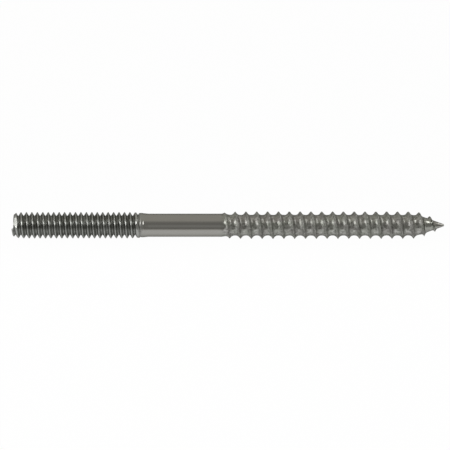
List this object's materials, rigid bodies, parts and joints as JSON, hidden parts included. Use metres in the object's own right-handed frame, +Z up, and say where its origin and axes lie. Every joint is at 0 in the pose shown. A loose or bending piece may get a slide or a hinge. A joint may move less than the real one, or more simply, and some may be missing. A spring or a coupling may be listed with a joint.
{
  "type": "hanger bolt",
  "caption": "Headless steel hanger bolt: a machine-threaded stud at one end, a plain shank, and a coarse wood-screw thread that tapers to a point at the other.",
  "frame": {"origin": "on the table under the middle of the bolt's length, as the bolt lies on its side", "axes": "+X along the bolt from the machine-threaded end to the wood screw's point, +Z up"},
  "size_m": [0.1016, 0.0064, 0.0065],
  "materials": {
    "steel": "plain rolled steel, lightly oiled, with a dull sheen"
  },
  "bodies": {
    "root": {"hanger_bolt": "steel"}
  },
  "joints": []
}
